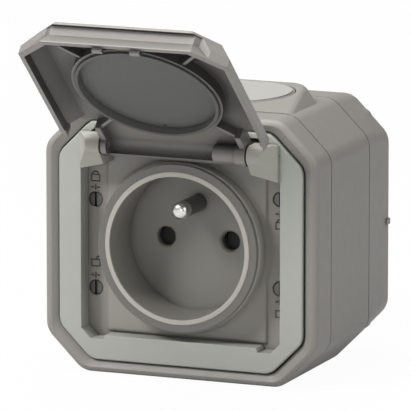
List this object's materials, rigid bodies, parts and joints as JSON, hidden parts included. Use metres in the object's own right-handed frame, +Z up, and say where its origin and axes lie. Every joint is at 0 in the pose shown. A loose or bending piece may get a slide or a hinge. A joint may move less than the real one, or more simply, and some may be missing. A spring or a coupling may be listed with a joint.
{
  "type": "outdoor weatherproof socket",
  "caption": "Surface-mounted weatherproof wall socket with an octagonal housing, hinged gasketed lid standing open, round earthed plug well and sealed cable entry on top.",
  "frame": {"origin": "on the wall face, straight behind the centre of the plug well", "axes": "+X to the right seen from the front, +Y into the wall, +Z up towards the cable entry"},
  "size_m": [0.0798, 0.1025, 0.1032],
  "materials": {
    "shell_plastic": "satin",
    "light_plastic": "satin",
    "well_plastic": "satin",
    "white_plastic": "satin",
    "pale_rubber": "matte",
    "seal_rubber": "matte",
    "steel": "satin",
    "brass": "polished"
  },
  "bodies": {
    "housing": {"rear_base": "shell_plastic", "wall_washers": "seal_rubber", "base_seal": "seal_rubber", "box_body": "shell_plastic", "cable_membrane": "pale_rubber", "bezel_seal": "seal_rubber", "front_bezel": "shell_plastic", "box_screws": "steel", "faceplate": "light_plastic", "front_panel": "shell_plastic", "collar_seal": "seal_rubber", "socket_body": "well_plastic", "earth_pin": "brass", "earth_strap": "brass", "plug_contact_left": "brass", "plug_contact_right": "brass", "terminal_screws": "steel", "mechanism_cover": "well_plastic", "cover_screws": "steel", "shutter_spring": "steel", "hinge_pin_left": "steel", "hinge_pin_right": "steel"},
    "lid": {"lid": "shell_plastic", "lid_seal": "seal_rubber"},
    "shutter": {"shutter": "white_plastic"},
    "upper_left_fastener": {"fastener_upper_left": "steel"},
    "lower_left_fastener": {"fastener_lower_left": "steel"},
    "lower_right_fastener": {"fastener_lower_right": "steel"},
    "upper_right_fastener": {"fastener_upper_right": "steel"}
  },
  "joints": [
    {"name": "lid_hinge", "type": "hinge", "parent": "housing", "child": "lid", "pos_m": [0, -0.0608, 0.02726], "axis": [-1, 0, 0], "range_deg": [-132.6, 17]},
    {"name": "shutter_slide", "type": "slide", "parent": "housing", "child": "shutter", "axis": [0, 0, -1], "range_m": [0, 0.0061], "stiffness_N_per_m": 40, "springref_m": -0.006, "deforming": ["shutter_spring"]},
    {"name": "upper_left_fastener_turn", "type": "hinge", "parent": "housing", "child": "upper_left_fastener", "pos_m": [-0.027, -0.0524, 0.0104], "axis": [0, -1, 0], "range_deg": [0, 90]},
    {"name": "lower_left_fastener_turn", "type": "hinge", "parent": "housing", "child": "lower_left_fastener", "pos_m": [-0.027, -0.0524, -0.0141], "axis": [0, -1, 0], "range_deg": [0, 90]},
    {"name": "lower_right_fastener_turn", "type": "hinge", "parent": "housing", "child": "lower_right_fastener", "pos_m": [0.027, -0.0524, -0.0104], "axis": [0, -1, 0], "range_deg": [0, 90]},
    {"name": "upper_right_fastener_turn", "type": "hinge", "parent": "housing", "child": "upper_right_fastener", "pos_m": [0.027, -0.0524, 0.0141], "axis": [0, -1, 0], "range_deg": [0, 90]}
  ]
}
